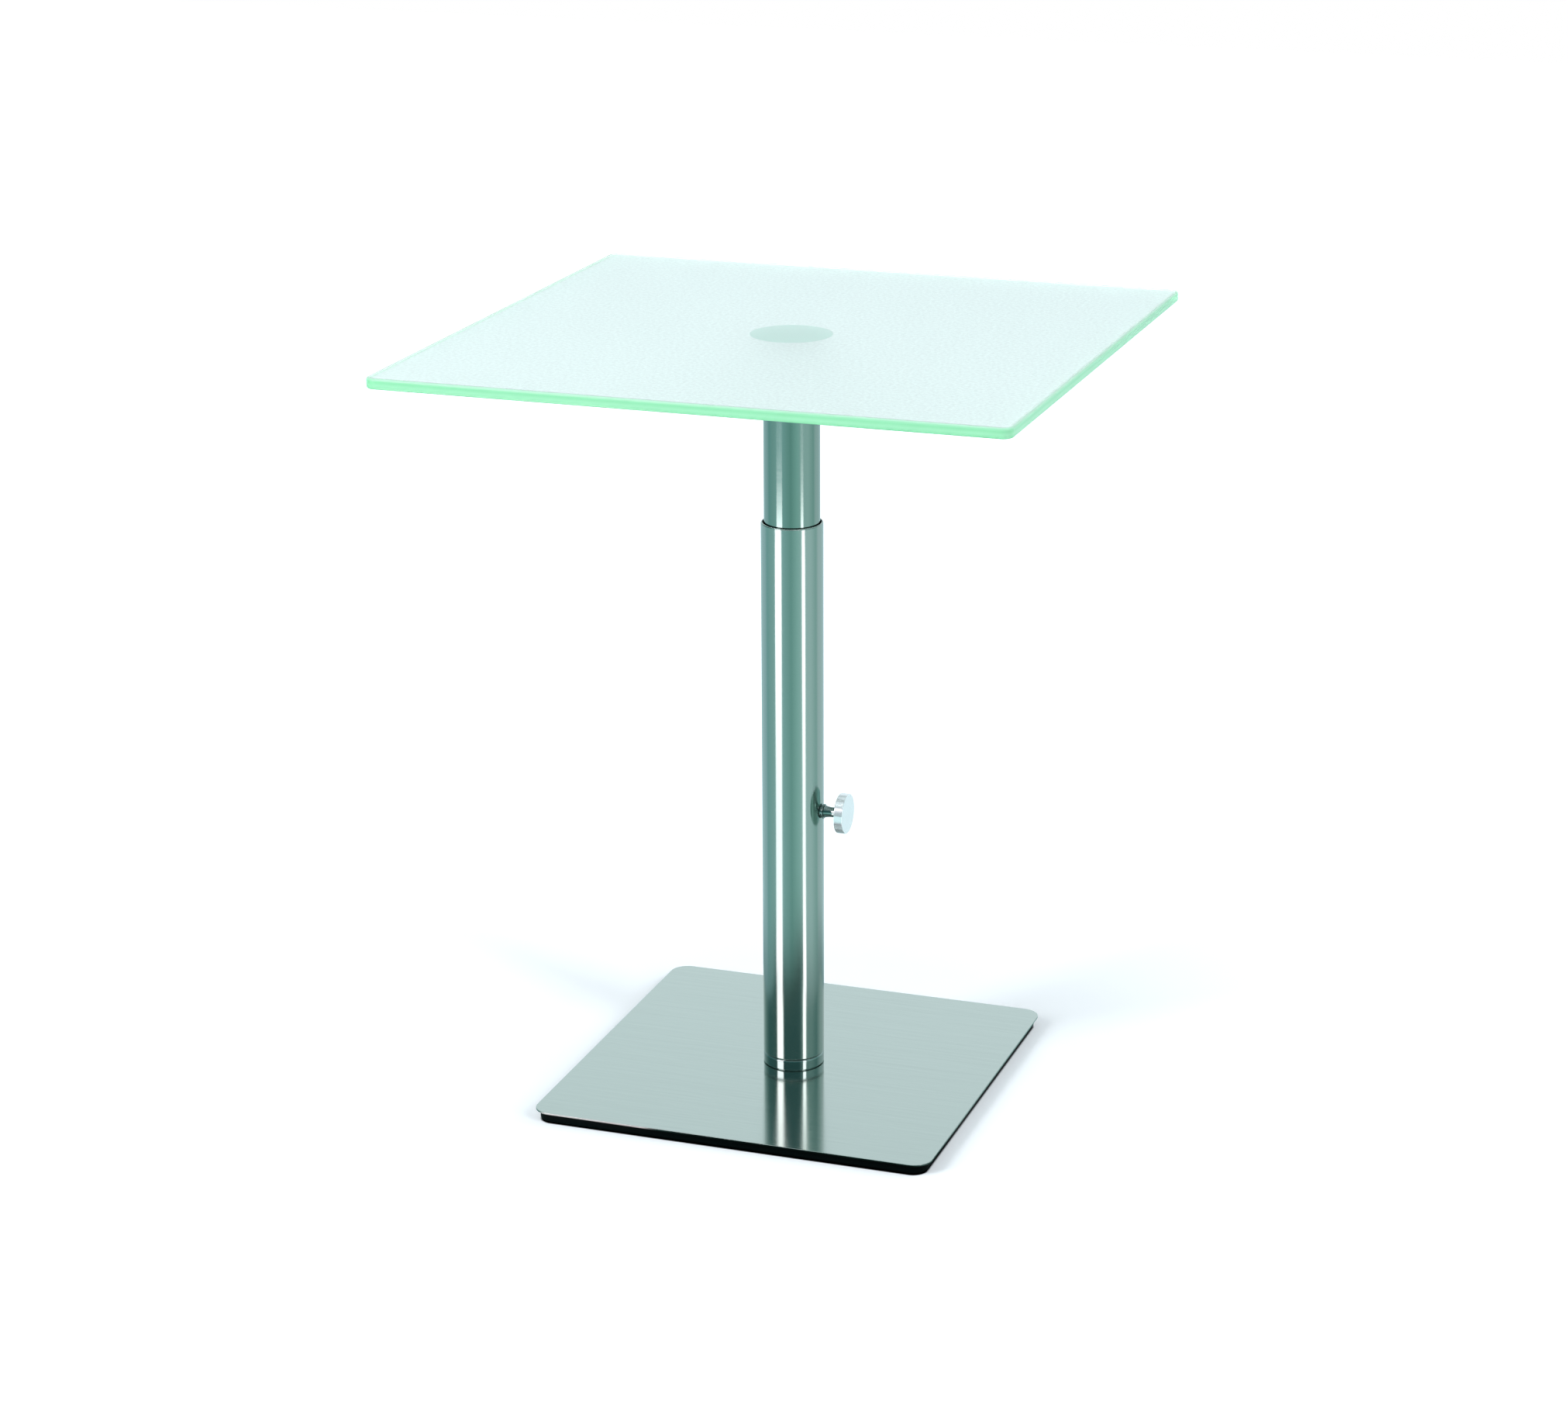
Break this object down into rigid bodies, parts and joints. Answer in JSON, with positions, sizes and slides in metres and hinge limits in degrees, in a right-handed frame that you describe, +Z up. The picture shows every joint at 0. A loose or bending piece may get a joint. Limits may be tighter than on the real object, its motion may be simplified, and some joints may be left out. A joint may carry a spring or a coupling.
{
  "type": "height-adjustable table",
  "caption": "Height-adjustable pedestal table: square satin glass top on a round telescopic steel column, held by a clamp knob, on a weighted square steel base.",
  "frame": {"origin": "on the floor under the column's axis", "axes": "+Z up along the column, +X along the clamp knob's axis, X and Y along the sides of the top and the base"},
  "size_m": [0.6, 0.6, 0.75],
  "materials": {
    "satin_glass": "etched satin toughened glass with polished edges, faintly green",
    "satin_stainless": "fine brushed stainless steel",
    "polished_stainless": "polished stainless steel",
    "turned_aluminium": "turned and polished aluminium",
    "plain_steel": "plain zinc-plated steel",
    "black_paint": "satin black paint",
    "black_plastic": "moulded black nylon",
    "rubber": "black rubber",
    "brass": "turned brass",
    "clear_adhesive": "clear cured adhesive film"
  },
  "bodies": {
    "base_column": {"base_cover_sheet": "satin_stainless", "weight_plate": "black_paint", "foot_pad_front_left": "black_plastic", "foot_pad_front_right": "black_plastic", "foot_pad_back_left": "black_plastic", "foot_pad_back_right": "black_plastic", "collar_ring": "polished_stainless", "column_foot_plug": "plain_steel", "column_bolt": "plain_steel", "dowel_pins": "plain_steel", "stop_buffer": "rubber", "outer_tube": "satin_stainless", "upper_guide_bush": "black_plastic", "clamp_boss": "polished_stainless"},
    "slide_ring": {"lower_guide_ring": "black_plastic"},
    "upper_column": {"inner_tube": "satin_stainless", "inner_end_plug": "black_plastic", "inner_top_plug": "plain_steel", "disc_stud": "plain_steel", "top_disc": "satin_stainless", "bond_film": "clear_adhesive", "glass_top": "satin_glass"},
    "clamp_pad": {"clamp_pad": "brass"},
    "clamp_knob": {"clamp_stud": "plain_steel", "knob_neck": "polished_stainless", "knob_head": "turned_aluminium"}
  },
  "joints": [
    {"name": "height_slide", "type": "slide", "parent": "base_column", "child": "slide_ring", "axis": [0, 0, 1], "range_m": [-0.15, 0.05]},
    {"name": "top_turn", "type": "hinge", "parent": "slide_ring", "child": "upper_column", "pos_m": [0, 0, 0.2115], "axis": [0, 0, 1], "continuous": true},
    {"name": "pad_slide", "type": "slide", "parent": "base_column", "child": "clamp_pad", "axis": [1, 0, 0], "range_m": [0, 0.002]},
    {"name": "knob_turn", "type": "hinge", "parent": "clamp_pad", "child": "clamp_knob", "pos_m": [0.0413, 0, 0.2777], "axis": [1, 0, 0], "range_deg": [0, 720]}
  ],
  "couplings": [
    {"joint": "pad_slide", "follows": "knob_turn", "m_per_rad": 0.00015915}
  ]
}
